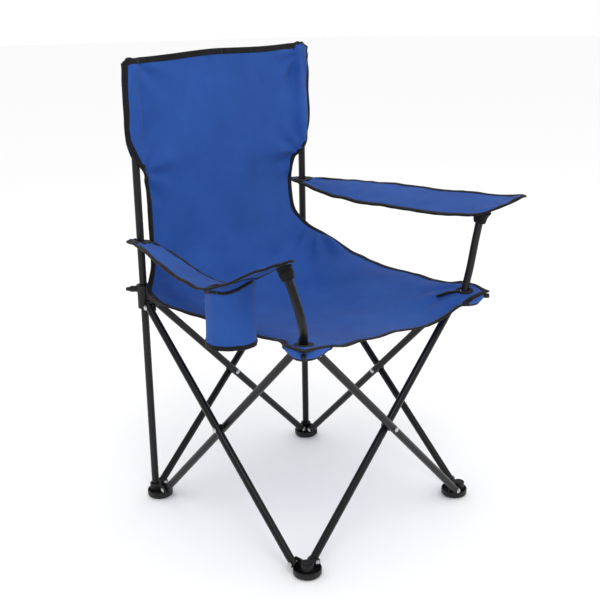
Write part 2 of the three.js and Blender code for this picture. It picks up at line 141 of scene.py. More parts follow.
def noise_at(tree, coordinates, scale, detail=3.0, roughness=0.5):
    made = node(tree, "ShaderNodeTexNoise", Scale=scale, Detail=detail, Roughness=roughness)
    tree.links.new(coordinates, made.inputs["Vector"])
    return made.outputs["Fac"]


def add_bump(tree, shader, height, strength, distance, under=None):
    bump = node(tree, "ShaderNodeBump", Strength=strength, Distance=distance)
    tree.links.new(height, bump.inputs["Height"])
    if under is not None:
        tree.links.new(under, bump.inputs["Normal"])
    tree.links.new(bump.outputs["Normal"], shader.inputs["Normal"])
    return bump.outputs["Normal"]


def paint(tree, shader, tone, stops, wear, low, high):
    """Colours a shader by tone, and makes its gloss uneven by wear."""
    tree.links.new(colour_ramp(tree, tone, stops), shader.inputs["Base Color"])
    tree.links.new(value_range(tree, wear, low, high), shader.inputs["Roughness"])


def woven(name, dark, light, pitch, roughness, sheen, coarse=0.35):
    """Plain weave on the UV map, which every cloth piece has in metres."""
    material, tree, shader = new_material(name)
    shader.inputs["Sheen Weight"].default_value = sheen
    shader.inputs["Sheen Roughness"].default_value = 0.4
    shader.inputs["Specular IOR Level"].default_value = 0.18
    place = tree.nodes.new("ShaderNodeTexCoord")
    split = tree.nodes.new("ShaderNodeSeparateXYZ")
    tree.links.new(place.outputs["UV"], split.inputs[0])
    turns = 2 * math.pi / pitch
    warp = math_node(tree, "SINE", math_node(tree, "MULTIPLY", split.outputs["X"], turns))
    weft = math_node(tree, "SINE", math_node(tree, "MULTIPLY", split.outputs["Y"], turns))
    weave = math_node(tree, "MULTIPLY", warp, weft)
    cloudy = noise_at(tree, place.outputs["Object"], 9.0, 4.0, 0.6)
    fibres = noise_at(tree, place.outputs["Object"], 900.0, 2.0)
    tone = math_node(tree, "MULTIPLY", cloudy, 0.7)
    for pattern, share in ((fibres, 0.3), (weave, 0.06)):
        tone = math_node(tree, "ADD", tone, math_node(tree, "MULTIPLY", pattern, share))
    paint(tree, shader, tone, [(0.32, dark), (0.68, light)], cloudy, roughness - 0.08, roughness + 0.08)
    slack = noise_at(tree, place.outputs["Object"], 38.0, 3.0, 0.55)
    under = add_bump(tree, shader, slack, coarse, 0.0016)
    add_bump(tree, shader, weave, 0.35, 0.00022, under)
    return material


def coated(name, dark, light, roughness, grain_scale, grain, coat=0.0):
    """Painted or moulded surface: fine grain, uneven gloss and rubbed patches."""
    material, tree, shader = new_material(name)
    shader.inputs["Coat Weight"].default_value = coat
    shader.inputs["Coat Roughness"].default_value = 0.12
    shader.inputs["Specular IOR Level"].default_value = 0.3
    place = tree.nodes.new("ShaderNodeTexCoord")
    patches = noise_at(tree, place.outputs["Object"], 24.0, 5.0, 0.62)
    grains = noise_at(tree, place.outputs["Object"], grain_scale, 2.0)
    paint(tree, shader, patches, [(0.35, dark), (0.75, light)], patches, roughness - 0.06, roughness + 0.10)
    add_bump(tree, shader, grains, grain, 0.00012)
    return material


def steel(name):
    material, tree, shader = new_material(name, Metallic=1.0)
    place = tree.nodes.new("ShaderNodeTexCoord")
    scuffs = noise_at(tree, place.outputs["Object"], 700.0, 4.0, 0.7)
    paint(tree, shader, scuffs, [(0.3, (0.42, 0.42, 0.43)), (0.7, (0.68, 0.68, 0.69))], scuffs, 0.22, 0.42)
    add_bump(tree, shader, scuffs, 0.2, 0.00008)
    return material


BLUE = woven("blue_polyester", (0.014, 0.064, 0.285), (0.024, 0.094, 0.375), 0.00085, 0.74, 0.06)
BINDING = woven("black_binding_tape", (0.004, 0.004, 0.005), (0.012, 0.012, 0.013), 0.0006, 0.7, 0.12, 0.2)
THREAD = woven("black_thread", (0.012, 0.012, 0.014), (0.03, 0.03, 0.034), 0.0004, 0.6, 0.2, 0.0)
TUBE = coated("black_powder_coat", (0.0045, 0.0045, 0.005), (0.009, 0.0088, 0.0085), 0.3, 1500.0, 0.22)
PLASTIC = coated("black_moulded_plastic", (0.005, 0.005, 0.0055), (0.012, 0.012, 0.012), 0.42, 900.0, 0.35)
STEEL = steel("rivet_steel")
SLOTS = {material: "blue_cloth" for material in (BLUE, BINDING, THREAD)}
SLOTS |= {TUBE: "black_tube", PLASTIC: "black_plastic", STEEL: "rivet_steel"}


# ---- meshes ----
def facing_out(points, faces):
    """The faces of a closed mesh, turned round if it is inside out."""
    points = np.asarray(points, float)
    triangles = np.array([(f[0], f[i], f[i + 1]) for f in faces for i in range(1, len(f) - 1)])
    a, b, c = (points[triangles[:, i]] for i in range(3))
    if np.sum((a - points[0]) * np.cross(b - points[0], c - points[0])) > 0:
        return faces
    return [tuple(f)[::-1] for f in faces]


def piece(name, points, faces, material, body, replaced=(), uvs=None):
    """A mesh object riding on a body. points are chair millimetres; uvs is one pair per point, in metres."""
    points = placed(points)
    mesh = bpy.data.meshes.new(name)
    mesh.from_pydata([tuple(p) for p in points], [], [tuple(f) for f in facing_out(points, faces)])
    mesh.materials.append(material)
    mesh.polygons.foreach_set("use_smooth", [True] * len(mesh.polygons))
    if uvs is not None:
        layer = mesh.uv_layers.new(name="metres")
        corners = np.zeros(len(mesh.loops), np.int32)
        mesh.loops.foreach_get("vertex_index", corners)
        layer.data.foreach_set("uv", np.asarray(uvs, float)[corners].ravel())
    mesh.validate()
    mesh.update()
    made = bpy.data.objects.new(name, mesh)
    bpy.context.scene.collection.objects.link(made)
    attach(made, body)
    if replaced:
        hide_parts(*replaced)
    return made


def unit(vectors):
    vectors = np.asarray(vectors, float)
    return vectors / np.maximum(np.linalg.norm(vectors, axis=-1, keepdims=True), 1e-12)


def along(points, closed=False):
    """Tangents of a polyline."""
    if closed:
        return unit(np.roll(points, -1, 0) - np.roll(points, 1, 0))
    tangents = np.gradient(np.asarray(points, float), axis=0)
    return unit(tangents)


def distance_along(points):
    steps = np.linalg.norm(np.diff(points, axis=0), axis=1)
    return np.concatenate([[0.0], np.cumsum(steps)])


def at_lengths(wanted, lengths, values):
    """Each column of values, interpolated at the wanted lengths."""
    return np.stack([np.interp(wanted, lengths, column) for column in np.asarray(values).T], 1)


def turns(count):
    """Angles of one full turn, in equal steps."""
    return 2 * np.pi * np.arange(count) / count


def spline(keys, values, wanted):
    """Catmull-Rom values through keys, for any number of columns."""
    keys, values, wanted = (np.asarray(a, float) for a in (keys, values, wanted))
    slopes = np.gradient(values, keys, axis=0)
    place = np.clip(np.searchsorted(keys, wanted, side="right") - 1, 0, len(keys) - 2)
    width = (keys[place + 1] - keys[place])[:, None]
    t = (wanted - keys[place])[:, None] / width
    a, b = values[place], values[place + 1]
    c, d = slopes[place] * width, slopes[place + 1] * width
    at_a, at_b = 2 * t ** 3 - 3 * t ** 2 + 1, 3 * t ** 2 - 2 * t ** 3
    return at_a * a + (t ** 3 - 2 * t ** 2 + t) * c + at_b * b + (t ** 3 - t ** 2) * d


def curve_through(points, count):
    """Evenly spaced points on a smooth curve through the points given."""
    points = np.asarray(points, float)
    keys = distance_along(points)
    dense = spline(keys, points, np.linspace(0, keys[-1], 40 * len(points)))
    lengths = distance_along(dense)
    return at_lengths(np.linspace(0, lengths[-1], count), lengths, dense)


def ring_faces(count, around, closed=False):
    """Faces between rings of points, with flat ends unless the last ring joins the first."""
    faces = []
    for i in range(count if closed else count - 1):
        j = (i + 1) % count
        for k in range(around):
            m = (k + 1) % around
            faces.append((i * around + k, i * around + m, j * around + m, j * around + k))
    if not closed:
        faces.append(tuple(range(around))[::-1])
        faces.append(tuple((count - 1) * around + k for k in range(around)))
    return faces


def swept(path, side, up, profile, closed=False):
    """An outline carried along a path. profile is pairs (towards side, towards up)."""
    rings = path[:, None, :] + side[:, None, :] * profile[None, :, :1] + up[:, None, :] * profile[None, :, 1:]
    points = rings.reshape(-1, 3)
    faces = ring_faces(*rings.shape[:2], closed)
    lengths = distance_along(path)
    girth = distance_along(np.vstack([profile, profile[:1]]))[:-1]
    uvs = np.stack(np.broadcast_arrays(lengths[:, None], girth[None, :]), -1).reshape(-1, 2)
    return points, faces, uvs


def turned(profile, segments=28):
    """Lathe round +Z: profile is pairs (radius, height), closed on the axis or as a ring."""
    rings, points, faces = [], [], []
    for radius, height in profile:
        if radius < 1e-6:
            rings.append([len(points)])
            points.append((0.0, 0.0, height))
        else:
            rings.append(list(range(len(points), len(points) + segments)))
            for k in range(segments):
                angle = 2 * math.pi * k / segments
                points.append((radius * math.cos(angle), radius * math.sin(angle), height))
    closed = profile[0][0] > 1e-6 and profile[-1][0] > 1e-6
    pairs = list(zip(rings, rings[1:] + rings[:1])) if closed else list(zip(rings, rings[1:]))
    for low, high in pairs:
        for k in range(segments):
            m = (k + 1) % segments
            if len(low) == 1:
                faces.append((low[0], high[m], high[k]))
            elif len(high) == 1:
                faces.append((low[k], low[m], high[0]))
            else:
                faces.append((low[k], low[m], high[m], high[k]))
    return np.array(points), faces


def aimed(points, direction, centre):
    """Points turned so that their +Z lies along direction, then moved to centre."""
    turn = Vector((0, 0, 1)).rotation_difference(Vector(direction)).to_matrix()
    return np.asarray(points) @ np.array(turn).T + np.asarray(centre, float)


# ---- tubes ----
RING_PITCH = 22
DENT_REACH = 16
DENT_WIDTH = 8.5


def tube_outline(length, pins):
    """Heights and dents of a straight tube, which is pressed a little flat by each pin."""
    heights = set(np.linspace(0, length, int(length / RING_PITCH) + 2))
    for pin in pins:
        heights |= set(np.clip(pin + np.linspace(-DENT_REACH, DENT_REACH, 13), 0, length))
    heights = np.array(sorted(heights))
    dents = np.zeros_like(heights)
    for pin in pins:
        dents = np.maximum(dents, np.exp(-(((heights - pin) / DENT_WIDTH) ** 2)))
    return heights, dents


TUBE_SEGMENTS = 28
ROLLED_END = [(0.9, 0.96), (0.25, 0.88), (0.0, 0.78), (0.5, 0.72), (0.6, 0.4)]  # inset, share of the radius
DENT_ALONG_PIN, DENT_ACROSS_PIN = 0.075, 0.045


def straight_tube(name, bottom, top, pin_axis, pins, body, replaced):
    """A straight tube with rolled, plugged ends. pins are distances from its bottom end."""
    bottom, top = np.asarray(bottom, float), np.asarray(top, float)
    direction = unit(top - bottom)
    length = np.linalg.norm(top - bottom)
    flat = unit(pin_axis)
    across = np.cross(direction, flat)
    rings = []
    for height, dent in zip(*tube_outline(length, pins)):
        flatter, wider = 1 - DENT_ALONG_PIN * dent, 1 + DENT_ACROSS_PIN * dent
        rings.append((height, TUBE_RADIUS * flatter, TUBE_RADIUS * wider))
    rolled = [(inset, TUBE_RADIUS * share, TUBE_RADIUS * share) for inset, share in ROLLED_END]
    rings = rolled[::-1] + rings[1:-1] + [(length - inset, a, b) for inset, a, b in rolled]
    points = []
    for height, a, b in rings:
        for angle in turns(TUBE_SEGMENTS):
            spoke = flat * a * math.cos(angle) + across * b * math.sin(angle)
            points.append(bottom + direction * height + spoke)
    return piece(name, points, ring_faces(len(rings), TUBE_SEGMENTS), TUBE, body, replaced)


# Each crossed pair of legs: which side of the middle it is on, and the axis of its pins.
CROSSES = {"right_side": (-1, 0), "left_side": (1, 0), "front_cross": (-1, 1), "back_cross": (1, 1)}
PLANES = (SIDE_PLANE, END_PLANE)
LEG_PINS = [LEG_OVERHANG, LEG_OVERHANG + LEG_SPAN / 2, LEG_OVERHANG + LEG_SPAN]
for pair, (sign, axis) in CROSSES.items():
    for kind, lane, lean in (("outer", 1, -1), ("inner", -1, 1)):
        start = lean * (sign if axis else 1) * PIN_HALF_SPAN
        bottom, top = np.array([start, start, PIN_HEIGHT]), np.array([-start, -start, PIN_TOP])
        bottom[axis] = top[axis] = sign * (PLANES[axis] + lane * LANE)
        overhang = unit(top - bottom) * LEG_OVERHANG
        straight_tube(
            f"{pair}_{kind}_leg_tube", bottom - overhang, top + overhang, np.eye(3)[axis], LEG_PINS,
            f"{pair}_{kind}", [f"{pair}_{kind}_leg"],
        )

POST_CAP = [
    (0, -9), (5.5, -9), (5.5, 0.2), (7.4, 0.2), (7.7, 0.9), (7.7, 2.6), (7.0, 4.2), (5.0, 5.6), (2.5, 6.4),
    (0, 6.6),
]
POST_PIN = 10.3
for side_name, sx in SIDES.items():
    foot, head = (sx * SIDE_PLANE, END_PLANE, POST_BOTTOM), (sx * SIDE_PLANE, END_PLANE, POST_TOP)
    body, post = f"rear_{side_name}_base", f"{side_name}_rear_post"
    straight_tube(f"{post}_tube", foot, head, (1, 0, 0), [POST_PIN], body, [post])
    points, faces = turned(POST_CAP)
    piece(f"{post}_cap_moulded", points + head, faces, PLASTIC, body, [f"{post}_cap"])

# ---- rivets and spacers ----
CORNERS = {
    "front_right_foot": (-1, -1, 1, -1),
    "front_left_foot": (1, -1, 1, 1),
    "rear_right_foot": (-1, 1, -1, 1),
    "rear_left_foot": (1, 1, -1, -1),
    "front_right_hub": (-1, -1, -1, 1),
    "front_left_hub": (1, -1, -1, -1),
    "rear_right_slider": (-1, 1, 1, -1),
    "rear_left_slider": (1, 1, 1, 1),
}


def corner_body(name):
    if name.startswith("rear") and name.endswith("foot"):
        return name.replace("foot", "base")
    return name


RIVET_HEAD = [(4.5, 0.0), (4.9, 0.25), (4.9, 0.7), (4.3, 1.35), (3.2, 1.95), (1.7, 2.3), (0.0, 2.4)]
RIVET_SHANK = 2.2


def add_rivet(name, centre, axis, grip, body):
    half = grip / 2
    profile = [(r, -half - h) for r, h in RIVET_HEAD[::-1]]
    profile += [(RIVET_SHANK, -half + 0.1), (RIVET_SHANK, half - 0.1)]
    profile += [(r, half + h) for r, h in RIVET_HEAD]
    points, faces = turned(profile, 22)
    piece(f"{name}_head", aimed(points, axis, centre), faces, STEEL, body, [name])


CORNER_GRIP = 2 * TUBE_RADIUS + EAR + 3 * GAP
EAR_SHIFT = (EAR + GAP) / 2
for name, (sx, sy, side, end) in CORNERS.items():
    height = PIN_HEIGHT if name.endswith("foot") else PIN_TOP
    side_x = sx * (SIDE_PLANE + side * LANE) - sx * side * EAR_SHIFT
    end_y = sy * (END_PLANE + end * LANE) - sy * end * EAR_SHIFT
    side_pin, end_pin = (side_x, sy * PIN_HALF_SPAN, height), (sx * PIN_HALF_SPAN, end_y, height)
    add_rivet(f"{name}_side_rivet", side_pin, (1, 0, 0), CORNER_GRIP, corner_body(name))
    add_rivet(f"{name}_cross_rivet", end_pin, (0, 1, 0), CORNER_GRIP, corner_body(name))

CROSSING = (PIN_HEIGHT + PIN_TOP) / 2
WASHER = [(2.6, -1.2), (6.3, -1.2), (6.9, -0.8), (7.0, 0), (6.9, 0.8), (6.3, 1.2), (2.6, 1.2)]
for name, (sign, axis) in CROSSES.items():
    centre = np.array([0, 0, CROSSING])
    centre[axis] = sign * PLANES[axis]
    body = f"{name}_outer" if name == "back_cross" else f"{name}_inner"
    add_rivet(f"{name}_pivot_rivet", centre, np.eye(3)[axis], 2 * (LANE + TUBE_RADIUS + GAP), body)
    points, faces = turned(WASHER, 26)
    points = aimed(points, np.eye(3)[axis], centre)
    piece(f"{name}_spacer_washer", points, faces, PLASTIC, body, [f"{name}_spacer"])


# ---- moulded fittings ----
def moulded(name, extra=(), voxel=0.85, rounds=7):
    """A fitting's CAD solid with more moulded detail joined on, melted into one skin with soft fillets."""
    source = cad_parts[name].data.copy()
    joined = bpy.data.meshes.new(f"{name}_raw")
    points = [tuple(v.co) for v in source.vertices]
    faces = [tuple(p.vertices) for p in source.polygons]
    for more_points, more_faces in extra:
        base = len(points)
        points += [tuple(p) for p in placed(more_points)]
        faces += [tuple(base + i for i in f) for f in more_faces]
    joined.from_pydata(points, [], faces)
    raw = bpy.data.objects.new(f"{name}_moulded", joined)
    bpy.context.scene.collection.objects.link(raw)
    weld = raw.modifiers.new("weld", "WELD")
    weld.merge_threshold = 1e-5
    remesh = raw.modifiers.new("melt", "REMESH")
    remesh.mode = "VOXEL"
    remesh.voxel_size = voxel * MM
    soften = raw.modifiers.new("fillet", "SMOOTH")
    soften.factor = 0.5
    soften.iterations = rounds
    graph = bpy.context.evaluated_depsgraph_get()
    final = bpy.data.meshes.new_from_object(raw.evaluated_get(graph))
    raw.modifiers.clear()
    raw.data = final
    final.materials.clear()
    final.materials.append(PLASTIC)
    final.polygons.foreach_set("use_smooth", [True] * len(final.polygons))
    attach(raw, corner_body(name))
    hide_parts(name)
    return raw


FOOT_BOWL = [
    (0, 0.2), (17, 0.2), (20, 0.6), (22.6, 2.2), (24.2, 5.2), (24.9, 9.5), (24.7, 13.2), (23.6, 14.4),
    (22.4, 13.4), (22.0, 9.5), (20, 7.4), (0, 7.0),
]
BOWL_INSET = 6
SLIDER_LIP = [(8.4, -2.2), (12.6, -2.2), (13.4, -1.2), (13.4, 1.2), (12.6, 2.2), (8.4, 2.2)]
SLIDER_BELOW_PIN, SLIDER_HEIGHT = 8, 46
KNOB = [(0, -3), (5.4, -3), (6.4, -1.6), (6.6, 0), (6.4, 1.6), (5.4, 3), (0, 3)]
KNOB_REACH, KNOB_ABOVE_PIN = 27, 29
for name, (sx, sy, side, end) in CORNERS.items():
    if name.endswith("foot"):
        bowl, bowl_faces = turned(FOOT_BOWL, 48)
        bowl += (sx * (SIDE_PLANE - BOWL_INSET), sy * (END_PLANE - BOWL_INSET), 0)
        moulded(name, [(bowl, bowl_faces)])
    elif name.endswith("hub"):
        moulded(name)
    else:
        lip, lip_faces = turned(SLIDER_LIP, 36)
        lip_height = PIN_TOP - SLIDER_BELOW_PIN + SLIDER_HEIGHT - 2.6
        lip += (sx * SIDE_PLANE, sy * END_PLANE, lip_height)
        knob, knob_faces = turned(KNOB, 24)
        reach = KNOB_REACH / math.sqrt(2)
        knob += (sx * (SIDE_PLANE + reach), sy * (END_PLANE + reach), PIN_TOP + KNOB_ABOVE_PIN)
        moulded(name, [(lip, lip_faces), (knob, knob_faces)])

# ---- arm posts ----
ARM_BASE_DEPTH = 8.0
ARM_BULGE = 13.0
ARMS = {
    "left": dict(top_y=-236.0, top_z=562.0, collar=585.0, tip=80.0, sag=8.0, tilt=30.0),
    "right": dict(top_y=-188.0, top_z=532.0, collar=510.0, tip=26.0, sag=50.0, tilt=8.0),
}


def centripetal(points, count):
    """A centripetal Catmull-Rom spline through the points, with count steps between each two."""
    points = [np.asarray(p, float) for p in points]
    points = [2 * points[0] - points[1], *points, 2 * points[-1] - points[-2]]
    out = []
    for i in range(1, len(points) - 2):
        p0, p1, p2, p3 = points[i - 1:i + 3]
        t0, t1, t2 = (max(np.sum((b - a) ** 2) ** 0.25, 1e-6) for a, b in ((p0, p1), (p1, p2), (p2, p3)))
        m1 = ((p1 - p0) / t0 - (p2 - p0) / (t0 + t1) + (p2 - p1) / t1) * t1
        m2 = ((p2 - p1) / t1 - (p3 - p1) / (t1 + t2) + (p3 - p2) / t2) * t1
        square, cube = -3 * p1 + 3 * p2 - 2 * m1 - m2, 2 * p1 - 2 * p2 + m1 + m2
        for t in np.linspace(0, 1, count, endpoint=False):
            out.append(p1 + m1 * t + square * t ** 2 + cube * t ** 3)
    out.append(points[-2])
    return np.array(out)


def arm_post_line(sx, arm):
    base = HUB_TOP - ARM_BASE_DEPTH
    rise = arm["top_z"] - base
    lean = arm["top_y"] + END_PLANE
    return centripetal([
        (sx * SIDE_PLANE, -END_PLANE, base),
        (sx * SIDE_PLANE, -END_PLANE, HUB_TOP + 4),
        (sx * (SIDE_PLANE + ARM_BULGE * 0.6), -END_PLANE - 5, base + rise * 0.36),
        (sx * (SIDE_PLANE + ARM_BULGE), -END_PLANE + lean * 0.3 - 4, base + rise * 0.66),
        (sx * (SIDE_PLANE + ARM_BULGE), arm["top_y"], arm["top_z"]),
    ], 14)


ARM_CAP = [
    (0, -7), (5.3, -7), (5.3, 0.3), (7.5, 0.4), (7.9, 0.9), (7.8, 2.3), (6.8, 3.8), (4.2, 5.1), (0, 5.6),
]
for side_name, sx in SIDES.items():
    line = arm_post_line(sx, ARMS[side_name])
    tangents = along(line)
    flat = unit(np.cross(tangents, (1.0, 0, 0)))
    angles = turns(TUBE_SEGMENTS)
    ring = np.stack([np.cos(angles), np.sin(angles)], 1) * TUBE_RADIUS
    points, faces, uvs = swept(line, flat, np.cross(tangents, flat), ring)
    body, post = f"front_{side_name}_hub", f"{side_name}_arm_post"
    piece(f"{post}_tube", points, faces, TUBE, body, [post])
    points, faces = turned(ARM_CAP)
    points = aimed(points, tangents[-1], line[-1])
    piece(f"{post}_cap_moulded", points, faces, PLASTIC, body, [f"{post}_cap"])


# ---- cloth ----
def grid_normals(points, closed=False):
    """Normals of a grid of points (rows, columns, 3)."""
    if closed:
        across = np.roll(points, -1, 1) - np.roll(points, 1, 1)
    else:
        across = np.gradient(points, axis=1)
    return unit(np.cross(across, np.gradient(points, axis=0)))


def normals_towards(points, row, column, way, closed=False):
    """Normals of a grid, turned so that the one at the place given faces the way given."""
    normals = grid_normals(points, closed)
    return normals * np.sign(np.sum(normals[row, column] * way))


def uv_grid(points, across, down):
    """UVs over a grid of points, in metres, from its distances across and down."""
    shape = points.shape[:2]
    return np.stack([np.broadcast_to(across, shape), np.broadcast_to(down, shape)], -1) * MM


def cloth_mesh(
    name, points, normals, uvs, body, keep=None, replaced=(),
    thickness=CLOTH_THICKNESS, wrap=False, material=BLUE,
):
    """A closed sheet over a grid (rows, columns, 3), or over the cells of it that keep marks."""
    rows, columns = points.shape[:2]
    half = thickness / 2
    both = np.stack([points + normals * half, points - normals * half])
    index = np.arange(rows * columns).reshape(rows, columns)
    layer = rows * columns
    faces, edges = [], {}
    for i in range(rows - 1):
        for j in range(columns if wrap else columns - 1):
            if keep is not None and not keep[i, j]:
                continue
            k = (j + 1) % columns
            a, b, c, d = index[i, j], index[i, k], index[i + 1, k], index[i + 1, j]
            faces.append((a, b, c, d))
            faces.append((layer + a, layer + d, layer + c, layer + b))
            for p, q in ((a, b), (b, c), (c, d), (d, a)):
                if (q, p) in edges:
                    del edges[(q, p)]
                else:
                    edges[(p, q)] = True
    faces += [(q, p, layer + p, layer + q) for p, q in edges]
    flat = both.reshape(-1, 3)
    used = sorted({i for f in faces for i in f})
    renumber = {old: new for new, old in enumerate(used)}
    faces = [tuple(renumber[i] for i in f) for f in faces]
    both_uvs = np.concatenate([uvs.reshape(-1, 2)] * 2)
    made = piece(name, flat[used], faces, material, body, replaced, both_uvs[used])
    facing = np.concatenate([normals.reshape(-1, 3), -normals.reshape(-1, 3)])[used]
    made.data.normals_split_custom_set_from_vertices([tuple(n) for n in facing])
    return made


BINDING_PROFILE = np.array([
    (-8.2, 0.75), (-8.0, 1.15), (-5.0, 1.4), (-1.2, 1.7), (0.6, 1.5), (1.6, 0.8), (1.9, 0.0),
    (1.6, -0.8), (0.6, -1.5), (-1.2, -1.7), (-5.0, -1.4), (-8.0, -1.15), (-8.2, -0.75),
])


STITCH_PITCH = 4.2
STITCH_INSET = 5.6
STITCH_FACES = [(0, 1, 2), (0, 2, 3), (4, 2, 1), (4, 3, 2), (0, 5, 1), (0, 3, 5), (4, 1, 5), (4, 5, 3)]


def bound(name, path, normals, outward, body, closed=False, width=1.0, height=1.0):
    """Binding tape folded over a cloth edge, with a row of stitches on each face."""
    normals = unit(normals)
    tangents = along(path, closed)
    outward = unit(outward - tangents * np.sum(outward * tangents, 1, keepdims=True))
    up = unit(np.cross(tangents, outward))
    up = up * np.sign(np.sum(up * normals, 1, keepdims=True) + 1e-9)
    points, faces, uvs = swept(path, outward, up, BINDING_PROFILE * (width, height), closed)
    tape = piece(name, points, faces, BINDING, body, (), uvs * MM)
    if closed:
        path, outward, up = (np.vstack([line, line[:1]]) for line in (path, outward, up))
    lengths = distance_along(path)
    count = max(2, int(lengths[-1] / STITCH_PITCH))
    places = (np.arange(count) + 0.5) * lengths[-1] / count
    centre, out, lift = (at_lengths(places, lengths, line) for line in (path, outward, up))
    out, lift = unit(out), unit(lift)
    ahead = unit(np.cross(out, lift))
    stitch_points, stitch_faces = [], []
    for face in (1, -1):
        middle = centre + out * (-STITCH_INSET * width) + lift * face * 1.42 * height
        for c, o, u, a in zip(middle, out, lift, ahead):
            base = len(stitch_points)
            sunk = u * 0.2 * face
            stitch_points += [
                c - a * 1.5 - sunk, c - o * 0.34, c + u * 0.34 * face, c + o * 0.34, c + a * 1.5 - sunk,
                c - u * 0.3 * face,
            ]
            stitch_faces += [tuple(base + i for i in corners[::face]) for corners in STITCH_FACES]
    uvs = np.asarray(stitch_points)[:, :2] * MM
    return [tape, piece(f"{name}_stitching", stitch_points, stitch_faces, THREAD, body, (), uvs)]


def ruffle(points, scale, seed):
    """Smooth noise from -1 to 1 at each point of an array (…, 3), in chair millimetres."""
    flat = points.reshape(-1, 3)
    places = ((x / scale + seed, y / scale - seed, z / scale + 2.3 * seed) for x, y, z in flat)
    return np.array([noise.noise(Vector(place)) for place in places]).reshape(points.shape[:-1])


def bell(value, centre, width):
    return np.exp(-(((value - centre) / width) ** 2))


def ease(value, low, high):
    t = np.clip((value - low) / (high - low), 0, 1)
    return t * t * (3 - 2 * t)


# The sling: one cloth from the seat's front edge to the top of the back. Each row goes from the middle
# (y, z) to its two edges (x, y, z), right and left.
SLING = [
    # middle          right edge           left edge
    ((-232, 390), (-240, -246, 413), (241, -246, 415)),
    ((-196, 381), (-234, -204, 412), (241, -205, 421)),
    ((-140, 374), (-207, -160, 403), (236, -142, 415)),
    ((-84, 370), (-189, -118, 394), (235, -80, 419)),
    ((-28, 368), (-188, -60, 392), (235, -27, 420)),
    ((28, 369), (-196, -8, 397), (234, 32, 427)),
    ((78, 373), (-212, 50, 404), (233, 88, 439)),
    ((116, 382), (-222, 105, 411), (230, 130, 454)),
    ((144, 397), (-226, 150, 417), (222, 162, 469)),
    ((164, 420), (-223, 180, 426), (208, 184, 482)),
    ((179, 455), (-206, 198, 442), (193, 196, 499)),
    ((190, 495), (-192, 209, 466), (181, 206, 520)),
    ((201, 550), (-187, 214, 520), (178, 214, 556)),
    ((208, 604), (-187, 216, 590), (181, 216, 600)),
    ((210, 632), (-190, 214, 622), (188, 214, 630)),
    ((210, 648), (-198, 211, 642), (203, 210, 646)),
    ((210, 662), (-211, 210, 660), (218, 210, 660)),
    ((210.5, 684), (-222, 212, 686), (227, 212, 682)),
    ((211, 764), (-226, 212, 762), (229, 212, 770)),
    ((211, 851), (-224, 212, 842), (227, 212, 860)),
]
ROWS = 204
HALF_COLUMNS = 56
SEAM_KEY = 8.5
EDGE_LIFT = 1.75
SLEEVE_CLOSES_OVER = 14
middles = np.array([(0, *row[0]) for row in SLING], float)
row_keys = distance_along(middles)
row_places = np.linspace(0, row_keys[-1], ROWS)
middle = spline(row_keys, middles, row_places)
edges = {sx: spline(row_keys, [row[part] for row in SLING], row_places) for sx, part in ((-1, 1), (1, 2))}
EDGE_COLUMN = {-1: 0, 1: 2 * HALF_COLUMNS}
SEAM_ROW = int(round(np.interp(SEAM_KEY, range(len(row_keys)), row_keys) / row_keys[-1] * (ROWS - 1)))
SLEEVE_ROW = int(np.argmin(np.abs(middle[:, 2] - 652)))
columns = 1 - (1 - np.arange(HALF_COLUMNS + 1) / HALF_COLUMNS) ** 1.18
signed = np.concatenate([-columns[:0:-1], columns])


def sling_points():
    points = np.zeros((ROWS, 2 * HALF_COLUMNS + 1, 3))
    for j, u in enumerate(signed):
        edge = edges[-1 if u < 0 else 1]
        share = abs(u)
        weight = 1 - (1 - share ** 2) ** EDGE_LIFT
        points[:, j, 0] = edge[:, 0] * share
        points[:, j, 1] = middle[:, 1] + (edge[:, 1] - middle[:, 1]) * weight
        points[:, j, 2] = middle[:, 2] + (edge[:, 2] - middle[:, 2]) * weight
    return points


def sleeve_closing(x, z):
    """How far open a sleeve is: it falls to 0 at the top edge, where its two layers are sewn together."""
    return np.clip((CLOTH_TOP + 2 + 0.035 * x - z) / SLEEVE_CLOSES_OVER, 0, 1) ** 0.4


sling = sling_points()
x, y, z = sling[..., 0].copy(), sling[..., 1].copy(), sling[..., 2].copy()
on_seat = 1 - ease(z, 440, 520)
# The front edge hangs lower on the left of the middle, and settles into the seat behind it.
sling[..., 2] -= 13 * bell(x, 92, 72) * bell(y, -232, 85) * on_seat
# The sleeve passes in front of the post and closes at its outer edge.
beyond = np.clip((np.abs(x) - SIDE_PLANE) / 17, 0, 1)
wraps = ease(np.abs(x), 188, 200) * ease(z, 618, 640)
front_of_post = END_PLANE - (TUBE_RADIUS + 2.6) * sleeve_closing(x, z)
sleeve_y = front_of_post + (212.6 - front_of_post) * beyond ** 1.6
sling[..., 1] += (sleeve_y - sling[..., 1]) * wraps
sling[..., 2] -= 10 * (np.clip((np.abs(x) - 208) / 18, 0, 1) ** 2) * ease(z, 815, 850)
sling[..., 2] += 1.6 * np.cos(x / 226 * np.pi / 2 * 3) * ease(z, 800, 850)


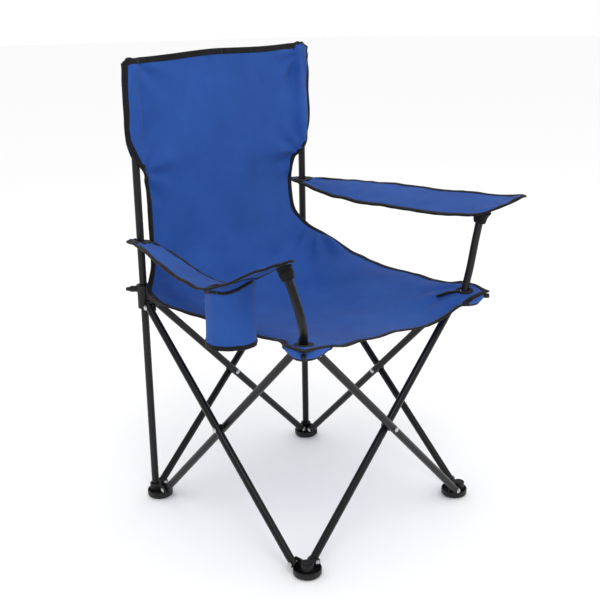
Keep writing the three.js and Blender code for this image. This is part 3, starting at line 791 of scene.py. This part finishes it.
def sling_folds(points):
    """Height of the cloth's folds along its normal, in millimetres."""
    x, y, z = points[..., 0], points[..., 1], points[..., 2]
    seat = 1 - ease(z, 440, 540)
    back = ease(z, 470, 560)
    calm = 1 - 0.85 * ease(np.abs(x), 196, 214) * ease(z, 640, 660)
    height = 3.4 * ruffle(points, 105, 3.1) * calm
    height += 2.0 * ruffle(points * (1.0, 0.55, 0.55), 42, 8.7) * calm
    height += 0.5 * ruffle(points, 15, 5.2) * calm
    # Drag lines that fan out of the four corners of the seat.
    for sx in (-1, 1):
        for corner_y, reach, depth in ((-230, 130, 3.2), (190, 125, 4.2)):
            dx, dy = x * sx - 215, (y - corner_y) * (1 if corner_y < 0 else -1)
            radius = np.hypot(dx, dy)
            angle = np.arctan2(dy, -dx)
            fan = np.sin(angle * 11 + 2.1 * sx + 0.02 * radius)
            height += depth * fan * bell(radius, 0.42 * reach, 0.36 * reach) * ease(radius, 22, 62) * seat
    # Soft upright folds beside the sleeves, stronger at the top corners and where the sleeves end.
    for sx in (-1, 1):
        beside = bell(np.abs(x), 178, 13) * (np.sign(x) == sx)
        upright = ease(z, 655, 700) * (1 - ease(z, 835, 850))
        height -= 3.2 * beside * (0.45 + 0.55 * np.sin(z / 31 + sx)) * upright
        dx, dz = x * sx - 205, z - 842
        radius, angle = np.hypot(dx, dz), np.arctan2(-dz, -dx)
        height += 3.0 * np.sin(angle * 9 + 1.4 * sx) * bell(radius, 52, 34) * back
        dz = z - 640
        radius, angle = np.hypot(dx, dz), np.arctan2(dz, -dx)
        height += 2.8 * np.sin(angle * 8 + 0.8 * sx) * bell(radius, 48, 34) * ease(np.abs(x), 60, 120)
    # The bend between back and seat creases sideways a little.
    height += 1.5 * np.sin(z / 9.5 + x / 60) * bell(z, 452, 34) * ease(np.abs(x), 30, 150)
    return height


normals = normals_towards(sling, 10, HALF_COLUMNS, (0, 0, 1))
edge_calm = 1 - 0.5 * ease(np.abs(signed), 0.93, 1.0)[None, :]
sling = sling + normals * (sling_folds(sling) * edge_calm)[..., None]
# Small slack waves in the bound edges of the seat.
free = ease(np.abs(signed), 0.8, 1.0)[None, :]
wave = 2.2 * ruffle(sling * (0.2, 1, 1), 34, 5.5) * free * (1 - ease(sling[..., 2], 600, 640))
sling[..., 2] += wave
normals = normals_towards(sling, 10, HALF_COLUMNS, (0, 0, 1))


def run_over(points, axis):
    """Distance run over a grid along one of its axes."""
    steps = np.linalg.norm(np.diff(points, axis=axis), axis=2)
    return np.insert(np.cumsum(steps, axis), 0, 0, axis)


across = run_over(sling, 1)
sling_uvs = uv_grid(sling, across - across[:, HALF_COLUMNS:HALF_COLUMNS + 1], run_over(sling, 0))

# The holes in the seat's front corners, through which the arm posts rise.
POST_HOLE = 9.4
SLIT_LENGTH = 52.0
cells = (sling[:-1, :-1] + sling[1:, 1:]) / 2
open_slot = np.hypot(np.abs(cells[..., 0]) - SIDE_PLANE - 0.5, cells[..., 1] + END_PLANE) < POST_HOLE
open_slot &= cells[..., 2] < 460
cell_row = np.arange(ROWS - 1)[:, None]
cell_side = np.where(np.arange(2 * HALF_COLUMNS) < HALF_COLUMNS, -1, 1)[None, :]


def on_sheet(line, sheet_points, sheet_normals, count=4):
    """Places on a sheet under or over a line of (x, y), with the sheet's normals there."""
    sheet_points, sheet_normals = sheet_points.reshape(-1, 3), sheet_normals.reshape(-1, 3)
    path, lift = [], []
    for px, py in line:
        near = np.argsort((sheet_points[:, 0] - px) ** 2 + (sheet_points[:, 1] - py) ** 2)[:count]
        path.append((px, py, sheet_points[near, 2].mean()))
        lift.append(sheet_normals[near].mean(0))
    return np.array(path), unit(np.array(lift))


def circle(centre, radius, count):
    """Points (x, y) of a circle, given its centre."""
    angles = turns(count)
    return np.stack([centre[0] + radius * np.cos(angles), centre[1] + radius * np.sin(angles)], 1)


def ring_on(name, sheet, centre, radius, counts, body, width, height=1.0):
    """Binding round a hole in a sheet. counts is its points, and how many of the sheet's each one is level with."""
    path, lift = on_sheet(circle(centre, radius, counts[0]), *sheet, counts[1])
    inward = (np.array((*centre, 0)) - path) * (1, 1, 0)
    return bound(name, path, lift, inward, body, closed=True, width=width, height=height)


def folds_with(made, kind):
    """Gives each part of the seat or the low back a mesh of its own; other kinds are left as they are."""
    for part in made:
        if kind == "seat":
            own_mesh(part)
        elif kind == "low_back":
            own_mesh(part)


SLING_PARTS = [("seat", 0, SEAM_ROW), ("low_back", SEAM_ROW, SLEEVE_ROW), ("back", SLEEVE_ROW, ROWS - 1)]
sheets = {}
for side_name, sx in SIDES.items():
    edge = EDGE_COLUMN[sx]
    half = slice(0, HALF_COLUMNS + 1) if sx < 0 else slice(HALF_COLUMNS, None)
    for part, first, last in SLING_PARTS:
        body = f"{'seat' if part == 'seat' else 'back'}_{side_name}"
        keep = (cell_row >= first) & (cell_row < last) & (cell_side == sx) & ~open_slot
        replaced = {"seat": [f"{side_name}_seat_panel"], "back": [f"{side_name}_back_panel"]}.get(part, [])
        cloth = cloth_mesh(f"{side_name}_{part}_cloth", sling, normals, sling_uvs, body, keep, replaced)
        rows = slice(first, last + 1)
        outward = sling[rows, edge] - sling[rows, edge - sx * 2]
        name = f"{side_name}_{part}_side_binding"
        trim = bound(name, sling[rows, edge], normals[rows, edge], outward, body)
        if part == "seat":
            name, outward = f"{side_name}_seat_front_binding", sling[0, half] - sling[2, half]
            trim += bound(name, sling[0, half], normals[0, half], outward, body)
        if part == "back":
            name, outward = f"{side_name}_back_top_binding", sling[-1, half] - sling[-3, half]
            trim += bound(name, sling[-1, half], normals[-1, half], outward, body, width=1.12, height=1.25)
        sheets[cloth.name] = (cloth, trim, part, side_name)
        folds_with([cloth, *trim], part)
    # Binding round the arm post's hole, and along the slit that runs from it towards the middle of the seat.
    seat_sheet = sling[:SEAM_ROW], normals[:SEAM_ROW]
    post_place = np.array((sx * SIDE_PLANE, -END_PLANE))
    body, binding = f"seat_{side_name}", f"{side_name}_seat_{{}}_binding"
    trim = ring_on(binding.format("hole"), seat_sheet, post_place, POST_HOLE, (40, 4), body, 0.8)
    step = np.array((-sx, 1)) / math.sqrt(2)
    slit = post_place + step * np.linspace(POST_HOLE + 2, SLIT_LENGTH, 24)[:, None]
    path, lift = on_sheet(slit, *seat_sheet)
    inward = np.broadcast_to((step[1], -step[0], 0), path.shape)
    trim += bound(binding.format("slit"), path - inward * 2.6 + lift * 0.8, lift, inward, body, width=0.8)
    sheets[f"{side_name}_seat_cloth"][1].extend(trim)
    folds_with(trim, "seat")

# ---- back of the sleeves ----
SLEEVE_ROWS = 44
SLEEVE_COLUMNS = 16
SLEEVE_SEAM_X = 187
SLEEVE_START = 664
sleeve_keys = np.linspace(0, 1, SLEEVE_ROWS)
for side_name, sx in SIDES.items():
    first = int(np.argmin(np.abs(sling[:, EDGE_COLUMN[sx], 2] - SLEEVE_START)))
    line = sling[first:, EDGE_COLUMN[sx]]
    heights = distance_along(line) / distance_along(line)[-1]
    outer = at_lengths(sleeve_keys, heights, line)
    stitched = np.argmin(np.abs(sling[first:, :, 0] - sx * SLEEVE_SEAM_X), axis=1)
    front_y = np.interp(sleeve_keys, heights, sling[first:, :, 1][np.arange(stitched.size), stitched])
    rear = np.zeros((SLEEVE_ROWS, SLEEVE_COLUMNS + 1, 3))
    for j in range(SLEEVE_COLUMNS + 1):
        share = j / SLEEVE_COLUMNS
        px = outer[:, 0] * (1 - share) + sx * SLEEVE_SEAM_X * share
        bulge = np.clip(1 - ((np.abs(px) - 208.5) / 19) ** 2, 0, 1) ** 0.7
        swell = (9.4 + 0.6 * np.sin(outer[:, 2] / 17)) * bulge * sleeve_closing(px, outer[:, 2])
        py = outer[:, 1] * (1 - share) + front_y * share + 1.7 + swell
        rear[:, j] = np.stack([px, py, outer[:, 2] - (1.2 * share)], 1)
    rear += 0.9 * ruffle(rear, 30, 4.4)[..., None] * (0, 1, 0)
    rear_normals = normals_towards(rear, 5, 5, (0, 1, 0))
    run = uv_grid(rear, np.linspace(0, 38, SLEEVE_COLUMNS + 1)[None, :], outer[:, 2:3])
    body = f"back_{side_name}"
    cloth = cloth_mesh(f"{side_name}_sleeve_rear_cloth", rear, rear_normals, run, body)
    trim = bound(f"{side_name}_sleeve_hem", rear[0], rear_normals[0], rear[0] - rear[2], body, width=0.8)
    sheets[cloth.name] = (cloth, trim, "sleeve", side_name)

# ---- corner pockets of the seat ----
POCKET_REACH = 66.0
POCKET_DROP = 19.0
POCKET_ROWS = 9
POCKET_COLUMNS = 60
TIE_ROWS = 9
TIE_COLUMNS = 16
for side_name, sx in SIDES.items():
    front = sling[0, HALF_COLUMNS:] if sx > 0 else sling[0, HALF_COLUMNS::-1]
    front = front[distance_along(front[::-1])[::-1] < POCKET_REACH]
    side_edge = sling[:, EDGE_COLUMN[sx]]
    side_edge = side_edge[distance_along(side_edge) < POCKET_REACH]
    rim = curve_through(np.vstack([front[:-4:5], side_edge[4::5]]), POCKET_COLUMNS)
    for _ in range(6):
        rim[1:-1] = (rim[:-2] + 2 * rim[1:-1] + rim[2:]) / 4
    share = np.linspace(-1, 1, POCKET_COLUMNS)
    centre = np.array((sx * 196.0, -200.0, 0))
    out = unit((rim - centre) * (1, 1, 0))
    drop = POCKET_DROP * np.clip(1 - share ** 2, 0, 1) ** 0.55
    layers = []
    for depth in np.linspace(0, 1, POCKET_ROWS):
        swell = 3.4 * math.sin(math.pi * min(1, depth * 1.15)) - 7.5 * depth ** 2.2
        swell = (swell * np.clip(1 - share ** 2, 0.02, 1) ** 0.5)[:, None]
        layers.append(rim + out * swell - (0, 0, 1) * (drop * depth + 0.2)[:, None])
    pocket = np.array(layers)
    pocket += out[None] * (0.5 * ruffle(pocket, 30, 6.1))[..., None]
    pocket_normals = normals_towards(pocket, 4, 30, out[30])
    run = uv_grid(pocket, distance_along(rim)[None, :], np.linspace(0, POCKET_DROP, POCKET_ROWS)[:, None])
    body = f"seat_{side_name}"
    cloth = cloth_mesh(f"{side_name}_seat_corner_pocket", pocket, pocket_normals, run, body)
    name, outward = f"{side_name}_corner_pocket_binding", pocket[-1] - pocket[-3]
    trim = bound(name, pocket[-1], pocket_normals[-1], outward, body, width=0.62)
    folds_with([cloth, *trim], "seat")
    sheets[cloth.name] = (cloth, trim, "pocket", side_name)
    # Black corner of doubled tape that ties the sling's edge to the slider.
    edge_line = sling[SEAM_ROW - 9:SEAM_ROW + 7, EDGE_COLUMN[sx] - sx * 2]
    post_line = np.stack([
        np.full(TIE_COLUMNS, sx * (SIDE_PLANE + 2.0)), np.full(TIE_COLUMNS, END_PLANE - SLIDER_RADIUS - 1.5),
        np.linspace(PIN_TOP + 12, PIN_TOP + 36, TIE_COLUMNS),
    ], 1)
    across = np.linspace(0, 1, TIE_ROWS)[:, None, None]
    tie = edge_line[None] * (1 - across) + post_line[None] * across
    tie += np.array((0, 0.0, -4.0)) * np.sin(np.pi * across)
    tie_normals = normals_towards(tie, 4, 8, (-sx, -0.4, 0.3))
    run = uv_grid(tie, distance_along(edge_line)[None, :], 30 * across[..., 0])
    patch = cloth_mesh(f"{side_name}_seat_tie", tie, tie_normals, run, body, thickness=2.6, material=BINDING)
    folds_with([patch], "seat")

# ---- armrests ----
# From the rear end to the front tip: y, x and z of the middle, half width, rise of the outer edge over the inner.
ARMREST = {
    "left": [
        (241, 208, 581, 7, 0), (234, 208, 581, 15, 1), (214, 209, 580, 20, 4), (180, 215, 577, 28, 11),
        (141, 222, 574, 35, 17), (60, 231, 570, 42, 26), (-30, 234, 570, 43, 29), (-120, 234, 571, 43, 30),
        (-190, 234, 574, 43, 29), (-236, 235, 577, 42, 24), (-268, 237, 583, 38, 18), (-292, 240, 591, 29, 10),
        (-305, 242, 596, 16, 4), (-309, 242, 597, 8, 1),
    ],
    "right": [
        (240, -211, 514, 6, 0), (234, -211, 514, 15, 2), (214, -210, 514, 21, 5), (175, -214, 511, 26, 8),
        (120, -222, 502, 32, 13), (72, -228, 492, 36, 17), (28, -232, 484, 39, 18), (-12, -235, 481, 40, 14),
        (-45, -237, 483, 40, 8), (-77, -238, 492, 39, 4), (-110, -237, 506, 37, 2), (-146, -233, 523, 32, 0),
        (-182, -229, 540, 25, -2), (-196, -227, 545, 17, -1), (-205, -226, 548, 8, 0),
    ],
}
ARM_ROWS = 150
ARM_COLUMNS = 24
ARM_POCKET_ROWS = 16
ARM_POCKET_COLUMNS = 36
ARM_POCKET_RADIUS = 12
CUP = (-238.0, -72.0)
CUP_HOLE_PLACE = (CUP[0] + 3, CUP[1])
CUP_RADIUS = 41.5
CUP_BOTTOM = 391.0
CUP_RIM = 488.0
CUP_HOLE = 33.0
arm_surfaces = {}


def smooth_loop(values, times):
    for _ in range(times):
        values = (np.roll(values, 1, 0) + 2 * values + np.roll(values, -1, 0)) / 4
    return values


def edge_loop(grid):
    """Values round the edge of an armrest's grid."""
    return np.vstack([grid[:, 0], grid[-1, 4:-4:4], grid[::-1, -1], grid[0, -5:4:-4]])


for side_name, sx in SIDES.items():
    keys = np.array(ARMREST[side_name], float)
    spine = np.stack([keys[:, 1], keys[:, 0], keys[:, 2]], 1)
    places = distance_along(spine)
    wanted = np.linspace(0, places[-1], ARM_ROWS)
    rows = spline(places, np.column_stack([spine, keys[:, 3:]]), wanted)
    widths = np.maximum(np.interp(wanted, places, keys[:, 3]) * 0.35 + rows[:, 3] * 0.65, 3.5)
    strip = np.zeros((ARM_ROWS, ARM_COLUMNS + 1, 3))
    for j in range(ARM_COLUMNS + 1):
        share = 2 * j / ARM_COLUMNS - 1
        strip[:, j, 0] = rows[:, 0] + sx * widths * share
        strip[:, j, 1] = rows[:, 1]
        strip[:, j, 2] = rows[:, 2] + rows[:, 4] * share / 2 - 1.8 * (share ** 2) * widths / 40
    calm = 0.35 + 0.65 * bell(strip[..., 1], 0, 190)
    strip[..., 2] += 2.3 * ruffle(strip, 62, 9.2) * calm + 1.3 * ruffle(strip, 24, 1.7) * calm
    front_y = keys[-3, 0]
    for centre_y, reach in ((214.0, 60.0), (front_y, 66.0)):
        dx, dy = strip[..., 0] - sx * 214, strip[..., 1] - centre_y
        radius, angle = np.hypot(dx, dy), np.arctan2(dx, -np.sign(centre_y) * dy)
        strip[..., 2] += 1.5 * np.sin(angle * 9 + 1.1 * sx) * bell(radius, 0.6 * reach, 0.4 * reach)
    border = ease(np.abs(2 * np.arange(ARM_COLUMNS + 1) / ARM_COLUMNS - 1), 0.75, 1.0)[None, :]
    strip[..., 2] += 1.8 * border * ruffle(strip * (0.3, 1, 1), 23, 2.9)
    strip_normals = normals_towards(strip, 70, 10, (0, 0, 1))
    run = uv_grid(strip, strip[..., 0], wanted[:, None])
    cell_x, cell_y = np.moveaxis((strip[:-1, :-1, :2] + strip[1:, 1:, :2]) / 2, -1, 0)
    keep = np.hypot(cell_x - sx * SIDE_PLANE, cell_y - END_PLANE) > TUBE_RADIUS + 2.5
    if side_name == "right":
        keep &= np.hypot(cell_x - CUP_HOLE_PLACE[0], cell_y - CUP_HOLE_PLACE[1]) > CUP_HOLE
    arm_surfaces[side_name] = sheet = (strip, strip_normals)
    body = f"armrest_{side_name}"
    name = f"{side_name}_armrest"
    cloth = cloth_mesh(f"{name}_cloth", strip, strip_normals, run, body, keep, [name], thickness=2.2)
    loop, lift = edge_loop(strip), edge_loop(strip_normals)
    lengths = distance_along(np.vstack([loop, loop[:1]]))
    even = np.linspace(0, lengths[-1], 320, endpoint=False)
    path, lift = (at_lengths(even, lengths, np.vstack([line, line[:1]])) for line in (loop, lift))
    path, lift = smooth_loop(path, 3), unit(lift)
    outward = np.cross(along(path, True), lift)
    inside = np.array((path[:, 0].mean(), 0, 0))
    outward *= np.sign(np.sum(outward[60:90] * (path[60:90] - inside) * (1, 0, 0)))
    trim = bound(f"{name}_binding", path, lift, outward, body, closed=True, width=0.82, height=1.2)
    post_place = (sx * SIDE_PLANE, END_PLANE)
    trim += ring_on(f"{name}_post_collar", sheet, post_place, TUBE_RADIUS + 2.2, (56, 5), body, 1.35, 1.25)
    if side_name == "right":
        trim += ring_on(f"{name}_cup_ring", sheet, CUP_HOLE_PLACE, CUP_HOLE, (56, 5), body, 0.7, 1.25)
    for part in (cloth, *trim):
        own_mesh(part)
    sheets[cloth.name] = (cloth, trim, "armrest", side_name)
    # Black pocket that holds the arm post's end under the armrest.
    line = arm_post_line(sx, ARMS[side_name])
    girth = 1.0 if side_name == "left" else 0.8
    ring = [(8.7, -17), (9.6, -13), (10.6, -6), (12.6 * girth, 0), (14.6 * girth, 3.4), (7.8, 3.8)]
    angles = turns(ARM_POCKET_COLUMNS)
    pocket = np.array([[(r * math.cos(a), r * math.sin(a) * 1.25, h) for a in angles] for r, h in ring])
    dense = [curve_through(pocket[:, k], ARM_POCKET_ROWS) for k in range(ARM_POCKET_COLUMNS)]
    dense = np.array(dense).transpose(1, 0, 2)
    dense += 0.5 * ruffle(dense, 9, 3.3)[..., None]
    pocket_normals = normals_towards(dense, 3, 0, (1, 0, 0), closed=True)
    tip_direction = unit(line[-1] - line[-3])
    pocket = aimed(dense.reshape(-1, 3), tip_direction, line[-1]).reshape(dense.shape)
    pocket_normals = aimed(pocket_normals.reshape(-1, 3), tip_direction, (0, 0, 0)).reshape(dense.shape)
    cloth_mesh(
        f"{side_name}_arm_post_pocket", pocket, pocket_normals,
        uv_grid(dense, angles[None, :] * ARM_POCKET_RADIUS, dense[..., 2]), f"front_{side_name}_hub",
        wrap=True, material=BINDING, thickness=1.4,
    )

# ---- cup holder ----
POUCH_ROWS = 46
POUCH_COLUMNS = 96
PIPING_ABOVE_WALL = 0.9
POUCH_THICKNESS = 1.6
angles = turns(POUCH_COLUMNS)


def pouch_radius(angle, height):
    """Round at the rim and a little square at the bottom, with soft upright folds."""
    share = (height - CUP_BOTTOM) / (CUP_RIM - CUP_BOTTOM)
    square = 1 + 0.03 * (1 - share) + 0.03 * (1 - share) * np.cos(4 * (angle - 0.15))
    slack = 0.9 * np.sin(5 * angle + 0.7) * np.sin(math.pi * share)
    slack = slack + 0.5 * np.sin(11 * angle + 2.0 + 2 * share)
    return CUP_RADIUS * (1 - 0.03 * np.sin(math.pi * share)) * square + slack


rim_line = np.stack([CUP[0] + (CUP_RADIUS - 2.5) * np.cos(angles), CUP[1] + CUP_RADIUS * np.sin(angles)], 1)
rim_height = smooth_loop(on_sheet(rim_line, *arm_surfaces["right"])[0][:, 2], 4)
wall = np.zeros((POUCH_ROWS, POUCH_COLUMNS, 3))
for i, share in enumerate(np.linspace(0, 1, POUCH_ROWS)):
    height = CUP_BOTTOM + (rim_height - 2.0 - CUP_BOTTOM) * share
    radius = pouch_radius(angles, height) * (1 - 0.05 * share * np.maximum(0, -np.cos(angles)))
    wall[i] = np.stack([CUP[0] + radius * np.cos(angles), CUP[1] + radius * np.sin(angles), height], 1)
wall_normals = normals_towards(wall, 5, 0, (1, 0, 0), closed=True)
pouch = cloth_mesh(
    "cup_holder_wall", wall, wall_normals, uv_grid(wall, angles[None, :] * CUP_RADIUS, wall[..., 2]),
    "cup_holder", replaced=["cup_holder_pouch"], wrap=True, thickness=POUCH_THICKNESS,
)
# Piping along the level of the rim, which hooks up to the armrest at its front end.
around = np.radians(np.concatenate([np.linspace(70, 284, 70), np.linspace(287, 298, 8)]))
climb = CUP_RIM + 13 * ease(np.degrees(around), 215, 285) + 9 * ease(np.degrees(around), 284, 298) ** 1.5
pipe = np.zeros((around.size, 3))
for k, (angle, height) in enumerate(zip(around, climb)):
    column = int(round(angle / (2 * math.pi) * POUCH_COLUMNS)) % POUCH_COLUMNS
    top = wall[-1, column, 2] - 1.5
    place = at_lengths([min(height, top)], wall[:, column, 2], wall[:, column])[0]
    pipe[k] = place + wall_normals[20, column] * PIPING_ABOVE_WALL
pipe_normals = unit(pipe - (CUP[0], CUP[1], 0) - (0, 0, 1) * pipe[:, 2:3])
upwards = np.broadcast_to((0, 0, 1.0), pipe.shape)
trim = bound("cup_holder_rim_piping", pipe, pipe_normals, upwards, "cup_holder", width=0.5, height=1.2)
trim += bound(
    "cup_holder_bottom_binding", wall[0], wall_normals[0], wall[0] - wall[3], "cup_holder",
    closed=True, width=0.8, height=1.3,
)
sheets[pouch.name] = (pouch, trim, "pouch", "right")
disc_rows = 12
disc = np.zeros((disc_rows, POUCH_COLUMNS, 3))
for i in range(disc_rows):
    share = (i + 0.6) / (disc_rows - 0.4)
    radius = (pouch_radius(angles, CUP_BOTTOM) - 0.6) * share
    sag = CUP_BOTTOM + 1.6 - 2.6 * (1 - share ** 2)
    disc[i] = np.column_stack([circle(CUP, radius, POUCH_COLUMNS), np.full(POUCH_COLUMNS, sag)])
bottom = cloth_mesh(
    "cup_holder_bottom", disc, normals_towards(disc, 5, 0, (0, 0, 1), closed=True), disc[..., :2] * MM,
    "cup_holder", wrap=True, thickness=POUCH_THICKNESS,
)
sheets[bottom.name] = (bottom, [], "pouch_bottom", "right")

# ---- floor, light, camera ----
bpy.ops.mesh.primitive_plane_add(size=90, location=(0, 0, 0))
floor = bpy.context.object
floor.name = "floor"
FLOOR_WHITE = 0.985
floor_material, _, floor_shader = new_material(
    "pale_floor", Base_Color=(FLOOR_WHITE, FLOOR_WHITE, FLOOR_WHITE, 1), Roughness=0.9,
)
floor_shader.inputs["Specular IOR Level"].default_value = 0.1
floor.data.materials.append(floor_material)

bpy.context.scene.view_settings.view_transform = "Standard"
world = bpy.data.worlds.new("studio")
bpy.context.scene.world = world
world.use_nodes = True
world_tree = world.node_tree
background = world_tree.nodes["Background"]
background.inputs["Color"].default_value = (1, 1, 1, 1)
sight = world_tree.nodes.new("ShaderNodeLightPath")
brightness = world_tree.nodes.new("ShaderNodeMapRange")
brightness.inputs["To Min"].default_value = 1.0
brightness.inputs["To Max"].default_value = 0.45
world_tree.links.new(sight.outputs["Is Glossy Ray"], brightness.inputs["Value"])
world_tree.links.new(brightness.outputs[0], background.inputs["Strength"])


def area_light(name, place, target, size, power):
    light = bpy.data.lights.new(name, "AREA")
    light.shape = "RECTANGLE"
    light.size, light.size_y = size
    light.energy = power
    made = bpy.data.objects.new(name, light)
    made.location = place
    made.rotation_euler = (Vector(target) - Vector(place)).to_track_quat("-Z", "Y").to_euler()
    bpy.context.scene.collection.objects.link(made)


# Position and target in metres, size in metres, power in watts.
area_light("key", (-1.2, -1.7, 3.0), (0, 0, 0.45), (1.5, 1.2), 22)
area_light("fill", (2.4, -1.6, 1.7), (0, 0, 0.45), (0.9, 1.6), 5)
area_light("back", (0.6, 2.6, 2.4), (0, 0, 0.5), (2.0, 1.0), 7)

camera_data = bpy.data.cameras.new("camera")
camera_data.sensor_width = 36
camera_data.lens = 58.115
camera = bpy.data.objects.new("camera", camera_data)
# The camera's own axes in the frame, and its place in chair millimetres.
right = Vector((0.71662, -0.69728, -0.01603))
up = Vector((0.20308, 0.18661, 0.96122))
back = -Vector((0.66724, 0.69209, -0.27533))
turn = Matrix((right, up, back)).transposed().to_4x4()
camera.matrix_world = Matrix.Translation(at(-1212.68, -1248.28, 898.19)) @ turn
bpy.context.scene.collection.objects.link(camera)
bpy.context.scene.camera = camera
